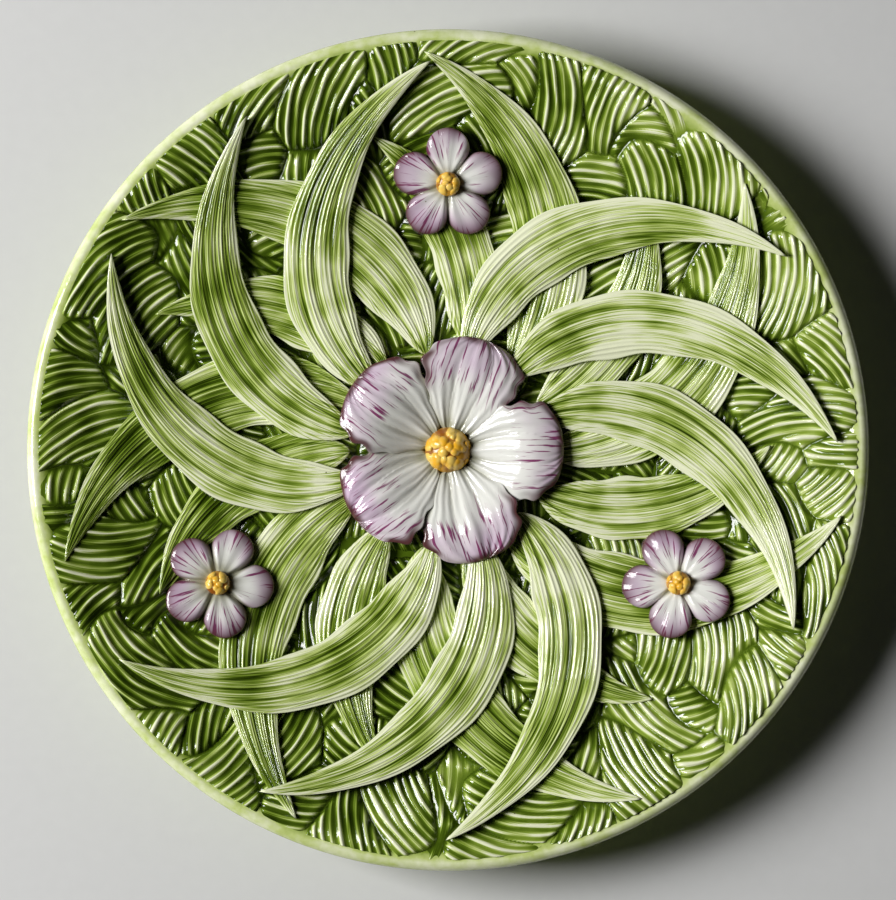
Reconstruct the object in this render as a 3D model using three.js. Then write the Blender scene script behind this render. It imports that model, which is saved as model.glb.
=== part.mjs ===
// A round glazed earthenware side plate with applied leaves and blossoms, in millimetres, +Z up.
// The origin is the middle of the foot ring's resting plane.
// Each leaf, petal and flower centre is a sprig: a piece of clay that is formed by itself, draped over
// the dished eating surface and luted down with slip. The sprigs lie in layers, one over another.
import * as THREE from 'three';

// The plate body.
const RIM_RADIUS = 90;
const WELL_RADIUS = 34;
const RIM_RISE = 13;
const FLOOR_THICKNESS = 5;
const RIM_THICKNESS = 3.6;
const LIP_REACH = 1.8;
const FOOT_RADIUS = 52;
const FOOT_WIDTH = 4.5;
const FOOT_HEIGHT = 3;
const FOOT_FLARE = 1.2;

// The joint filled with slip under a sprig, and the open ground left beside it.
const LUTE_GAP = 0.3;
const SIDE_GAP = 0.6;

// Broad leaves of the lowest layer, which cover the sloping border.
const UNDER_LEAF_BASE_RADIUS = 42;
const UNDER_LEAF_RIM_MARGIN = 0.8;
const UNDER_LEAF_WIDTH = 26;
const UNDER_LEAF_THICKNESS = 1.1;
const UNDER_LEAF_SWIRL_DEG = -16;

// Curved leaves of the second layer, long and short by turns.
const ARCH_LEAF_BASE_RADIUS = 21;
const ARCH_LEAF_RIM_MARGIN = 3;
const ARCH_LEAF_WIDTH = 16;
const ARCH_LEAF_THICKNESS = 1.2;
const ARCH_LEAF_SWIRL_DEG = 42;
const SHORT_LEAF_RIM_MARGIN = 19;
const SHORT_LEAF_WIDTH = 13.5;
const SHORT_LEAF_SWIRL_DEG = 26;

// Slender leaves of the top layer, in groups between the small blossoms.
const TOP_LEAF_BASE_RADIUS = 20;
const TOP_LEAF_RIM_MARGIN = 5;
const TOP_LEAF_WIDTH = 14;
const TOP_LEAF_THICKNESS = 1.3;
const TOP_LEAF_SWIRL_DEG = -48;
const TOP_LEAVES_PER_GROUP = 3;
const TOP_LAYER_TURN_DEG = 90;

// The small blossoms, each one pressed corolla and a centre button.
const SMALL_BLOSSOM_RING_RADIUS = 57;
const SMALL_BLOSSOM_RADIUS = 12;
const SMALL_BLOSSOM_THICKNESS = 2;
const SMALL_BLOSSOM_PETALS = 5;
const SMALL_CENTRE_RADIUS = 2.6;
const SMALL_CENTRE_HEIGHT = 2;

// The large blossom in the middle, with separate petals around a centre button.
const PETAL_REACH = 25;
const PETAL_WIDTH = 20.5;
const PETAL_THICKNESS = 1.9;
const LARGE_CENTRE_RADIUS = 5;
const LARGE_CENTRE_HEIGHT = 5.2;

// The ribs modelled along each upper leaf and each petal, side by side with a groove between each two.
const LEAF_RIBS = 4;
const LEAF_RIB_DEPTH = 0.4;
const PETAL_RIBS = 3;
const PETAL_RIB_DEPTH = 0.7;

// The thicket modelled in the lowest layer: short bent leaves, spread over the plate in a spiral, that lie
// across each other. Each one swells from its margin to its middle and lies on a level of its own.
const THICKET_LEAVES = 150;
const THICKET_LEAF_LENGTH = 27;
const THICKET_LEAF_WIDTH = 13;
const THICKET_SWELL = 0.4;
const THICKET_STEP = 0.3;
const THICKET_LEAN_DEG = 38;
const THICKET_LEAN_SPREAD_DEG = 34;
const THICKET_BEND = 0.5;
const THICKET_PRIORITY = 0.5;
const SIDE_BEAT = 2.2;
const LEAN_BEAT = 1.3;
const LEVEL_BEAT = 3.1;

// Shape of a sprig: where it is widest, how round its outline is, and its cross-section.
const LEAF_WIDEST = 0.42;
const UNDER_LEAF_WIDEST = 0.58;
const UNDER_LEAF_ROUNDNESS = 0.7;
const LEAF_ROUNDNESS = 0.85;
const LEAF_ARCHING = 1.5;
const PETAL_WIDEST = 0.62;
const PETAL_ROUNDNESS = 0.6;
const EDGE_SHARE = 0.35;
const PETAL_NOTCH = 0.42;
const COROLLA_DIP = 0.3;

// Smoothness of the solids.
const BODY_SEGMENTS = 72;
const BODY_RINGS = 9;
const LIP_STEPS = 4;
const BACK_STEPS = 4;
const UNDER_LEAF_TOP_STEPS = 12;
const LEAF_STATIONS = 13;
const PETAL_STATIONS = 10;
const COROLLA_STEPS_PER_PETAL = 6;
const COROLLA_RINGS = 6;
const BUTTON_SEGMENTS = 12;
const BUTTON_RINGS = 6;
const OUTLINE_SAMPLES = 400;

// The width of the rings on which neighbouring pieces are compared.
const RING_WIDTH = 1;

const FULL_TURN = 2 * Math.PI;
const GOLDEN_ANGLE = Math.PI * (3 - Math.sqrt(5));
const AXIS = new THREE.Vector2(0, 0);
const WELL_HEIGHT = FOOT_HEIGHT + FLOOR_THICKNESS;
const SURFACE_RADIUS = RIM_RADIUS - LIP_REACH;

// Heights of the layers over the eating surface.
const UNDER_LIFT = LUTE_GAP;
const ARCH_LIFT = UNDER_LIFT + UNDER_LEAF_THICKNESS + LUTE_GAP;
const TOP_LIFT = ARCH_LIFT + ARCH_LEAF_THICKNESS + LUTE_GAP;
const PETAL_LIFT = TOP_LIFT + TOP_LEAF_THICKNESS + LUTE_GAP;
const SMALL_CENTRE_LIFT = TOP_LIFT + SMALL_BLOSSOM_THICKNESS + LUTE_GAP;
const INNERMOST_LEAF_BASE = Math.min(ARCH_LEAF_BASE_RADIUS, TOP_LEAF_BASE_RADIUS, UNDER_LEAF_BASE_RADIUS);
const PETAL_BASE_RADIUS = LARGE_CENTRE_RADIUS + LUTE_GAP;

const bodyGlaze = new THREE.MeshStandardMaterial({ color: 0x8fa25a, roughness: 0.15, metalness: 0 });
const underLeafGlaze = new THREE.MeshStandardMaterial({ color: 0x6f8836, roughness: 0.15, metalness: 0 });
const leafGlaze = new THREE.MeshStandardMaterial({ color: 0x90a25c, roughness: 0.15, metalness: 0 });
const petalGlaze = new THREE.MeshStandardMaterial({ color: 0xe6dde2, roughness: 0.15, metalness: 0 });
const centreGlaze = new THREE.MeshStandardMaterial({ color: 0xe5a63a, roughness: 0.2, metalness: 0 });

// The height of the eating surface above the table, at a distance from the middle.
function surfaceHeight(radius) {
  const climb = Math.max(0, radius - WELL_RADIUS) / (RIM_RADIUS - WELL_RADIUS);
  return WELL_HEIGHT + RIM_RISE * climb ** 2;
}

// The thickness of the body, which thins from the floor to the rim.
function bodyThickness(radius) {
  const climb = Math.max(0, radius - WELL_RADIUS) / (RIM_RADIUS - WELL_RADIUS);
  return THREE.MathUtils.lerp(FLOOR_THICKNESS, RIM_THICKNESS, climb);
}

// The body is turned from one profile: recess, foot ring, underside, rounded lip and eating surface.
function bodyGeometry() {
  const underside = (radius) => surfaceHeight(radius) - bodyThickness(radius);
  const footInside = FOOT_RADIUS - FOOT_WIDTH;
  const shoulder = FOOT_RADIUS + FOOT_FLARE;
  const profile = [
    new THREE.Vector2(0, FOOT_HEIGHT),
    new THREE.Vector2(footInside - FOOT_FLARE, FOOT_HEIGHT),
    new THREE.Vector2(footInside, 0),
    new THREE.Vector2(FOOT_RADIUS, 0),
  ];
  for (let ring = 0; ring <= BODY_RINGS; ring += 1) {
    const radius = THREE.MathUtils.lerp(shoulder, SURFACE_RADIUS, ring / BODY_RINGS);
    profile.push(new THREE.Vector2(radius, underside(radius)));
  }
  const lipTop = surfaceHeight(SURFACE_RADIUS);
  const lipBottom = underside(SURFACE_RADIUS);
  const lip = new THREE.EllipseCurve(
    SURFACE_RADIUS, (lipTop + lipBottom) / 2, LIP_REACH, (lipTop - lipBottom) / 2, -Math.PI / 2, Math.PI / 2,
  );
  profile.push(...lip.getPoints(2 * LIP_STEPS).slice(1, -1));
  for (let ring = 0; ring <= BODY_RINGS; ring += 1) {
    const radius = THREE.MathUtils.lerp(SURFACE_RADIUS, WELL_RADIUS, ring / BODY_RINGS);
    profile.push(new THREE.Vector2(radius, surfaceHeight(radius)));
  }
  profile.push(new THREE.Vector2(0, WELL_HEIGHT));
  return new THREE.LatheGeometry(profile, BODY_SEGMENTS).rotateX(Math.PI / 2);
}

// How deep a ribbed sprig is cut at a place across it from -1 to 1: not at all on the ridges, fully in the grooves.
function ribCut(across, ribs, depth) {
  const isMargin = Math.abs(across) > 1 - 1 / ribs;
  return isMargin ? 0 : depth * (1 - Math.abs(Math.sin(0.5 * Math.PI * ribs * (across + 1))));
}

const thicket = Array.from({ length: THICKET_LEAVES }, (_, i) => {
  const radius = RIM_RADIUS * Math.sqrt((i + 0.5) / THICKET_LEAVES);
  const angle = GOLDEN_ANGLE * i;
  const side = Math.sin(SIDE_BEAT * i) > 0 ? 1 : -1;
  const lean = THICKET_LEAN_DEG + THICKET_LEAN_SPREAD_DEG * Math.sin(LEAN_BEAT * i);
  return {
    middle: new THREE.Vector2(radius * Math.cos(angle), radius * Math.sin(angle)),
    heading: angle + side * THREE.MathUtils.degToRad(lean),
    side,
    level: Math.sin(LEVEL_BEAT * i),
  };
});

// How near a place is to a short leaf of the thicket; the leaf that is nearest lies uppermost there.
function nearness({ middle, heading, side, level }, place) {
  const { x: along, y: beside } = place.clone().sub(middle).rotateAround(AXIS, -heading);
  const across = beside - (side * THICKET_BEND * along ** 2) / THICKET_LEAF_LENGTH;
  const outwards = ((2 * along) / THICKET_LEAF_LENGTH) ** 2 + ((2 * across) / THICKET_LEAF_WIDTH) ** 2;
  return THICKET_PRIORITY * level - outwards;
}

// How deep the thicket is cut at a place seen from above, from the middle of its highest leaf.
function thicketCut(place) {
  const [first, second] = thicket
    .map((leaf) => ({ level: leaf.level, near: nearness(leaf, place) }))
    .sort((a, b) => b.near - a.near);
  const fromMiddle = 1 - Math.min(1, first.near - second.near);
  return THICKET_SWELL * fromMiddle ** 2 + 0.5 * THICKET_STEP * (1 - first.level);
}

// A closed sprig, made by moving each point of a globe: along runs from 0 to 1 between the globe's poles
// and around is the angle about its axis. place gives x, y and the height over the eating surface.
function sprigGeometry(sectionPoints, stations, place) {
  const geometry = new THREE.SphereGeometry(1, sectionPoints, stations);
  const { position, uv } = geometry.attributes;
  for (let i = 0; i < position.count; i += 1) {
    const { x, y, lift } = place(1 - uv.getY(i), FULL_TURN * uv.getX(i));
    position.setXYZ(i, x, y, surfaceHeight(Math.hypot(x, y)) + lift);
  }
  geometry.computeVertexNormals();
  return geometry;
}

// A leaf or petal that runs outwards from the middle of the plate along a curving midrib.
class Blade {
  constructor(sizes) {
    Object.assign(this, sizes);
    this.skew = Math.log(0.5) / Math.log(this.widest);
  }

  // From 0 at the two pointed ends to 1 where the blade is widest.
  fullness(along) {
    return Math.sin(Math.PI * along ** this.skew) ** this.roundness;
  }

  // The place seen from above, along the midrib from 0 to 1 and across it from -1 to 1.
  plan(along, across) {
    const reach = this.tipRadius - this.baseRadius;
    const swirl = THREE.MathUtils.degToRad(this.swirlDeg);
    const radius = this.baseRadius + reach * along;
    const angle = swirl * along ** LEAF_ARCHING;
    const turning = radius * swirl * LEAF_ARCHING * along ** (LEAF_ARCHING - 1);
    const heading = angle + Math.atan2(turning, reach);
    const offset = 0.5 * this.width * across * this.fullness(along);
    return {
      x: radius * Math.cos(angle) - offset * Math.sin(heading),
      y: radius * Math.sin(angle) + offset * Math.cos(heading),
    };
  }

  // The thickness under the upper side: thin at the margins and the ends, and less where the relief is cut.
  crown(along, across, cut) {
    const dome = EDGE_SHARE + (1 - EDGE_SHARE) * (1 - across ** 4);
    return (this.thickness - cut) * dome * Math.sqrt(this.fullness(along));
  }

  // The section goes in even steps across the upper side and then back across the lower side. The turn about
  // the plate's axis is the one at which the blade is laid.
  geometry(stations, topSteps, turn = 0) {
    const steps = topSteps + BACK_STEPS;
    return sprigGeometry(steps, stations, (along, around) => {
      const step = Math.round((steps * around) / FULL_TURN) % steps;
      const isUpper = step <= topSteps;
      const across = isUpper ? (2 * step) / topSteps - 1 : 1 - (2 * (step - topSteps)) / BACK_STEPS;
      const { x, y } = this.plan(along, across);
      const place = new THREE.Vector2(x, y).rotateAround(AXIS, turn);
      const rise = isUpper ? this.crown(along, across, this.cut(across, place)) : 0;
      return { x, y, lift: this.lift(Math.hypot(x, y)) + rise };
    });
  }

  outline() {
    return Array.from({ length: 2 * OUTLINE_SAMPLES }, (_, i) => {
      const along = (i % OUTLINE_SAMPLES) / (OUTLINE_SAMPLES - 1);
      return this.plan(along, i < OUTLINE_SAMPLES ? 1 : -1);
    });
  }
}

// A small blossom pressed in one piece, with its petals as round lobes.
class Corolla {
  constructor(sizes) {
    Object.assign(this, sizes);
  }

  edgeRadius(around) {
    const lobe = Math.abs(Math.cos((this.petals / 2) * around)) ** PETAL_ROUNDNESS;
    return this.radius * (1 - PETAL_NOTCH * (1 - lobe));
  }

  plan(share, around) {
    const reach = share * this.edgeRadius(around);
    return { x: this.ringRadius + reach * Math.cos(around), y: reach * Math.sin(around) };
  }

  geometry() {
    const steps = this.petals * COROLLA_STEPS_PER_PETAL;
    return sprigGeometry(steps, COROLLA_RINGS, (along, around) => {
      const isUpper = along <= 0.5;
      const share = 1 - Math.abs(2 * along - 1);
      const dish = 1 - COROLLA_DIP * (1 - share) - (1 - EDGE_SHARE) * share ** 4;
      const { x, y } = this.plan(share, around);
      return { x, y, lift: this.lift + (isUpper ? this.thickness * dish : 0) };
    });
  }

  outline() {
    return Array.from({ length: OUTLINE_SAMPLES }, (_, i) => this.plan(1, (FULL_TURN * i) / OUTLINE_SAMPLES));
  }
}

// A domed button with a flat back, which stands on the eating surface at a distance from the middle.
function buttonGeometry(radius, height, ringRadius, lift) {
  return sprigGeometry(BUTTON_SEGMENTS, BUTTON_RINGS, (along, around) => {
    const reach = radius * Math.sin(Math.PI * along);
    const dome = height * Math.max(0, Math.cos(Math.PI * along));
    return { x: ringRadius + reach * Math.cos(around), y: reach * Math.sin(around), lift: lift + dome };
  });
}

// The least and greatest angle that a piece reaches on each ring around the middle of the plate.
function angularSpans(piece) {
  const spans = new Map();
  for (const { x, y } of piece.outline()) {
    const ring = Math.round(Math.hypot(x, y) / RING_WIDTH);
    const angle = Math.atan2(y, x);
    const span = spans.get(ring) ?? { low: angle, high: angle };
    spans.set(ring, { low: Math.min(span.low, angle), high: Math.max(span.high, angle) });
  }
  return spans;
}

// The angle from one piece to the next around the plate that leaves open ground between them.
function clearStep(spans, nextSpans) {
  let step = 0;
  for (const [ring, { high }] of spans) {
    const next = nextSpans.get(ring);
    if (next) step = Math.max(step, high - next.low + SIDE_GAP / (ring * RING_WIDTH));
  }
  return step;
}

// The angles at which a group of pieces is repeated, as often as it fits around the plate.
function ringAngles(group, firstTurnDeg = 0) {
  const spans = [...group, ...group].map(angularSpans);
  const starts = [];
  for (const span of spans) {
    starts.push(Math.max(0, ...starts.map((start, i) => start + clearStep(spans[i], span))));
  }
  const groupStep = Math.max(...group.map((_, i) => starts[group.length + i] - starts[i]));
  const repeats = Math.floor(FULL_TURN / groupStep);
  const slack = (FULL_TURN / repeats - groupStep) / group.length;
  const firstTurn = THREE.MathUtils.degToRad(firstTurnDeg);
  return Array.from({ length: repeats }, (_, repeat) => {
    const groupTurn = firstTurn + (FULL_TURN * repeat) / repeats;
    return group.map((_piece, i) => groupTurn + starts[i] + slack * i);
  });
}

const plate = new THREE.Group();
const counts = new Map();

function addPiece(name, geometry, material, turn = 0) {
  const mesh = new THREE.Mesh(geometry, material);
  mesh.name = name;
  mesh.rotation.z = turn;
  plate.add(mesh);
}

function addNumbered(name, geometry, material, turn) {
  const count = (counts.get(name) ?? 0) + 1;
  counts.set(name, count);
  addPiece(`${name}_${String(count).padStart(2, '0')}`, geometry, material, turn);
}

function leaf(sizes) {
  return new Blade({
    widest: LEAF_WIDEST,
    roundness: LEAF_ROUNDNESS,
    cut: (across) => ribCut(across, LEAF_RIBS, LEAF_RIB_DEPTH),
    ...sizes,
  });
}

function addUnderLeaves() {
  const underLeaf = leaf({
    baseRadius: UNDER_LEAF_BASE_RADIUS,
    tipRadius: SURFACE_RADIUS - UNDER_LEAF_RIM_MARGIN,
    width: UNDER_LEAF_WIDTH,
    thickness: UNDER_LEAF_THICKNESS,
    swirlDeg: UNDER_LEAF_SWIRL_DEG,
    widest: UNDER_LEAF_WIDEST,
    roundness: UNDER_LEAF_ROUNDNESS,
    cut: (_across, place) => thicketCut(place),
    lift: () => UNDER_LIFT,
  });
  for (const [turn] of ringAngles([underLeaf])) {
    const geometry = underLeaf.geometry(LEAF_STATIONS, UNDER_LEAF_TOP_STEPS, turn);
    addNumbered('under_leaf', geometry, underLeafGlaze, turn);
  }
}

function addArchLeaves() {
  const shared = {
    baseRadius: ARCH_LEAF_BASE_RADIUS,
    thickness: ARCH_LEAF_THICKNESS,
    lift: () => ARCH_LIFT,
  };
  const longLeaf = leaf({
    ...shared,
    tipRadius: SURFACE_RADIUS - ARCH_LEAF_RIM_MARGIN,
    width: ARCH_LEAF_WIDTH,
    swirlDeg: ARCH_LEAF_SWIRL_DEG,
  });
  const shortLeaf = leaf({
    ...shared,
    tipRadius: SURFACE_RADIUS - SHORT_LEAF_RIM_MARGIN,
    width: SHORT_LEAF_WIDTH,
    swirlDeg: SHORT_LEAF_SWIRL_DEG,
  });
  const longGeometry = longLeaf.geometry(LEAF_STATIONS, 2 * LEAF_RIBS);
  const shortGeometry = shortLeaf.geometry(LEAF_STATIONS, 2 * LEAF_RIBS);
  for (const [longTurn, shortTurn] of ringAngles([longLeaf, shortLeaf])) {
    addNumbered('arch_leaf', longGeometry, leafGlaze, longTurn);
    addNumbered('short_leaf', shortGeometry, leafGlaze, shortTurn);
  }
}

function addTopLayer() {
  const topLeaf = leaf({
    baseRadius: TOP_LEAF_BASE_RADIUS,
    tipRadius: SURFACE_RADIUS - TOP_LEAF_RIM_MARGIN,
    width: TOP_LEAF_WIDTH,
    thickness: TOP_LEAF_THICKNESS,
    swirlDeg: TOP_LEAF_SWIRL_DEG,
    lift: () => TOP_LIFT,
  });
  const corolla = new Corolla({
    ringRadius: SMALL_BLOSSOM_RING_RADIUS,
    radius: SMALL_BLOSSOM_RADIUS,
    thickness: SMALL_BLOSSOM_THICKNESS,
    petals: SMALL_BLOSSOM_PETALS,
    lift: TOP_LIFT,
  });
  const leafGeometry = topLeaf.geometry(LEAF_STATIONS, 2 * LEAF_RIBS);
  const corollaGeometry = corolla.geometry();
  const centreGeometry = buttonGeometry(
    SMALL_CENTRE_RADIUS, SMALL_CENTRE_HEIGHT, SMALL_BLOSSOM_RING_RADIUS, SMALL_CENTRE_LIFT,
  );
  const group = [corolla, ...Array(TOP_LEAVES_PER_GROUP).fill(topLeaf)];
  for (const [blossomTurn, ...leafTurns] of ringAngles(group, TOP_LAYER_TURN_DEG)) {
    addNumbered('small_corolla', corollaGeometry, petalGlaze, blossomTurn);
    addNumbered('small_centre', centreGeometry, centreGlaze, blossomTurn);
    for (const turn of leafTurns) addNumbered('top_leaf', leafGeometry, leafGlaze, turn);
  }
}

// The petals spring from the well beside the centre button and rise over the bases of the leaves.
function addLargeBlossom() {
  const riseEnd = INNERMOST_LEAF_BASE - SIDE_GAP;
  const petal = new Blade({
    baseRadius: PETAL_BASE_RADIUS,
    tipRadius: PETAL_REACH,
    width: PETAL_WIDTH,
    thickness: PETAL_THICKNESS,
    swirlDeg: 0,
    widest: PETAL_WIDEST,
    roundness: PETAL_ROUNDNESS,
    cut: (across) => ribCut(across, PETAL_RIBS, PETAL_RIB_DEPTH),
    lift: (radius) => {
      const risen = THREE.MathUtils.smoothstep(radius, PETAL_BASE_RADIUS, riseEnd);
      return THREE.MathUtils.lerp(LUTE_GAP, PETAL_LIFT, risen);
    },
  });
  const geometry = petal.geometry(PETAL_STATIONS, 2 * PETAL_RIBS);
  for (const [turn] of ringAngles([petal])) addNumbered('petal', geometry, petalGlaze, turn);
  addPiece('large_centre', buttonGeometry(LARGE_CENTRE_RADIUS, LARGE_CENTRE_HEIGHT, 0, LUTE_GAP), centreGlaze);
}

addPiece('plate_body', bodyGeometry(), bodyGlaze);
addUnderLeaves();
addArchLeaves();
addTopLayer();
addLargeBlossom();

export default plate;
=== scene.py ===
"""A round earthenware side plate with relief leaves and blossoms, dressed around its solids.

Lengths are in metres, +Z is up, and the origin is the middle of the foot ring's resting plane.
Every leaf, petal and flower centre takes its place around the plate from the solid that it stands for.
Only the leaves on the ground of the well have no solid of their own, and stand at even steps.
"""

import logging
import math
from collections.abc import Iterator
from dataclasses import dataclass, field
from enum import Enum
from functools import cached_property

import bmesh
import bpy
import numpy as np
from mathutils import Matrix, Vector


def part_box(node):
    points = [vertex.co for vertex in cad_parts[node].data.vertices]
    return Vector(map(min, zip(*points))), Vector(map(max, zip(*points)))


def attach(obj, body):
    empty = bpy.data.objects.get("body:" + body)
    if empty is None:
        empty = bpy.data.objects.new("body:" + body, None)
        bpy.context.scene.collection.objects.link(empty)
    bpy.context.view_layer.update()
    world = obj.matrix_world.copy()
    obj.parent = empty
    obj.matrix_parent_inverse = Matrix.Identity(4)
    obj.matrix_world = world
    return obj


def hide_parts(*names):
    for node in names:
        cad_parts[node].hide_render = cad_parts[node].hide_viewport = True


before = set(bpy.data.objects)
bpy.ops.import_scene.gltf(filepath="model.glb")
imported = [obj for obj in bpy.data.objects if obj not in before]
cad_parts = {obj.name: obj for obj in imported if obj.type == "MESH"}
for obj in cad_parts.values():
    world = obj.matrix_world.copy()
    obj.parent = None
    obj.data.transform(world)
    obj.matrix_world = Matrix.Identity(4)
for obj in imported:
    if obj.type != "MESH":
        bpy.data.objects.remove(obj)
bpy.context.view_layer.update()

LOG = logging.getLogger("plate")
MM = 0.001
TURN = 2 * math.pi
GOLDEN_ANGLE = math.pi * (3 - math.sqrt(5))
WALL_SINK = 0.7 * MM
WALL_FADE = 0.6
MEAN_RIDGE = 0.4
SLOW_WAVER = 0.14
QUICK_WAVER = 0.05
LINE_FADING = 0.3
STROKE_STEP = 17.0

Array = np.ndarray
Mesh = bpy.types.Mesh
Socket = bpy.types.NodeSocket
Colour = tuple[float, float, float]
Span = tuple[float, float]
Stop = tuple[float, Colour]


def share_between(value: Array, low: float, high: float) -> Array:
    """The share of the way from low to high, held between 0 and 1."""
    return np.clip((value - low) / (high - low), 0.0, 1.0)


def ease(value: Array, low: float, high: float) -> Array:
    """The share of the way from low to high, with a smooth start and end."""
    share = share_between(value, low, high)
    return share**2 * (3 - 2 * share)


@dataclass(frozen=True)
class Dish:
    """The thrown body's form: a flat well, a rising border, a rounded lip and a foot ring."""

    rim_radius: float
    well_radius: float = 34 * MM
    rim_rise: float = 13 * MM
    floor_thickness: float = 5 * MM
    rim_thickness: float = 3.6 * MM
    lip_reach: float = 1.8 * MM
    foot_radius: float = 52 * MM
    foot_width: float = 4.5 * MM
    foot_height: float = 3 * MM
    foot_flare: float = 1.2 * MM

    @property
    def edge(self) -> float:
        """The distance from the middle at which the lip begins."""
        return self.rim_radius - self.lip_reach

    def climb(self, radius: Array) -> Array:
        """The share of the way from the well's edge to the rim, at a distance from the middle."""
        return np.maximum(0.0, radius - self.well_radius) / (self.rim_radius - self.well_radius)

    def surface(self, radius: Array) -> Array:
        """The height of the eating surface at a distance from the middle."""
        return self.foot_height + self.floor_thickness + self.rim_rise * self.climb(radius) ** 2

    def underside(self, radius: Array) -> Array:
        """The height of the underside at a distance from the middle."""
        thinning = (self.floor_thickness - self.rim_thickness) * self.climb(radius)
        return self.surface(radius) - self.floor_thickness + thinning


DISH = Dish(rim_radius=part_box("plate_body")[1].x)


class Crest(Enum):
    """How the lines along a sprig are worked, with the sharpness of their crests."""

    SCRATCHED = 3.4
    SMOOTHED = 2.0


@dataclass(frozen=True)
class Stand:
    """Where a sprig stands.

    Attributes:
        radius: the distance of its middle from the plate's axis; a leaf springs from the axis itself.
        turn: its angle about the axis.
        seed: a number of its own, which sets its lines and brush strokes apart.
    """

    radius: float
    turn: float
    seed: float


Placed = tuple[str, Stand, list[str]]


@dataclass
class Form:
    """What a sprig's formula gives for each vertex.

    Attributes:
        points: places in space, one row for each vertex.
        comb: 0 on the crest of a carved line to 1 in its groove, and what the walls are shaded with.
        edge: 0 inside the outline to 1 at the margin, fading down the wall.
        reach: 0 where the sprig springs to 1 at its tip.
        lay: what lay_of gives.
    """

    points: Array
    comb: Array
    edge: Array
    reach: Array
    lay: Array


@dataclass
class Carving:
    """What is cut into a sprig's upper side, for each vertex.

    Attributes:
        height: how far it stands over or under the uncut side.
        comb: 0 on the crest of a carved line to 1 in its groove.
        lay: what lay_of gives.
    """

    height: Array
    comb: Array
    lay: Array


def lay_of(along: Array, across: Array, number: Array | float) -> Array:
    """Millimetres along and across a run of lines, and a number that sets its strokes apart."""
    return np.stack([along / MM, across / MM, np.broadcast_to(number, along.shape)], axis=1)


def fade_down(depth: Array) -> Array:
    """How much of a painted outline is left on the way down a wall."""
    return 1 - WALL_FADE * np.minimum(1.0, 2 * depth)


def drop_wall(top: Array, ground: Array, depth: Array) -> Array:
    """The height between a sprig's top and its foot, which is sunk into the dish."""
    return top + (ground - WALL_SINK - top) * depth


def read_points(mesh: Mesh) -> Array:
    """Reads a mesh's vertex places.

    Args:
        mesh: the mesh to read.

    Returns:
        One row of x, y and z for each vertex.
    """
    flat = np.zeros(3 * len(mesh.vertices), np.float32)
    mesh.vertices.foreach_get("co", flat)
    return flat.reshape(-1, 3).astype(float)


def write_scalar(mesh: Mesh, name: str, values: Array) -> None:
    """Stores one number for each vertex."""
    attribute = mesh.attributes.get(name) or mesh.attributes.new(name, "FLOAT", "POINT")
    attribute.data.foreach_set("value", np.asarray(values, np.float32))


def write_lay(mesh: Mesh, lay: Array) -> None:
    """Stores the places that the brush strokes follow, one row for each vertex."""
    attribute = mesh.attributes.new("lay", "FLOAT_VECTOR", "POINT")
    attribute.data.foreach_set("vector", lay.astype(np.float32).ravel())


def write_form(mesh: Mesh, form: Form) -> None:
    """Moves a mesh's vertices to their places and stores what the finishes read.

    Args:
        mesh: a shell's mesh.
        form: the form that the shell takes.
    """
    mesh.vertices.foreach_set("co", form.points.astype(np.float32).ravel())
    for name in ("comb", "edge", "reach"):
        write_scalar(mesh, name, getattr(form, name))
    write_lay(mesh, form.lay)
    mesh.polygons.foreach_set("use_smooth", np.ones(len(mesh.polygons), bool))
    mesh.update()


def nodes_named(prefix: str) -> list[str]:
    """The solids whose names are the prefix and a number, in order."""
    return sorted(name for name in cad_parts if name.rpartition("_")[0] == prefix)


def turn_of(node: str) -> float:
    """Finds the angle about the plate's axis at which a solid springs from the middle.

    Args:
        node: the solid's name.

    Returns:
        The angle of its innermost point, in radians.
    """
    points = read_points(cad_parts[node].data)
    inner = points[np.argmin(np.hypot(points[:, 0], points[:, 1]))]
    return math.atan2(inner[1], inner[0])


def middle_of(node: str) -> tuple[float, float]:
    """Finds where a solid stands, seen from above.

    Args:
        node: the solid's name.

    Returns:
        Its distance from the plate's axis and its angle about it.
    """
    low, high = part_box(node)
    middle = (low + high) / 2
    return math.hypot(middle.x, middle.y), math.atan2(middle.y, middle.x)


def add_object(name: str, data: bpy.types.ID) -> bpy.types.Object:
    """Adds an object to the scene.

    Args:
        name: the object's name.
        data: its mesh, light or camera.

    Returns:
        The new object.
    """
    thing = bpy.data.objects.new(name, data)
    bpy.context.scene.collection.objects.link(thing)
    return thing


def add_piece(name: str, mesh: Mesh, slot: str, nodes: list[str]) -> bpy.types.Object:
    """Makes a mesh a piece of the plate.

    Args:
        name: the piece's name.
        mesh: its mesh, already in place.
        slot: the record's material slot; not used.
        nodes: the solids that the piece stands for.

    Returns:
        The new object.
    """
    piece = add_object(name, mesh)
    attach(piece, "root")
    if nodes:
        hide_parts(*nodes)
    LOG.info("built %s with %d faces", name, len(mesh.polygons))
    return piece


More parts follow.
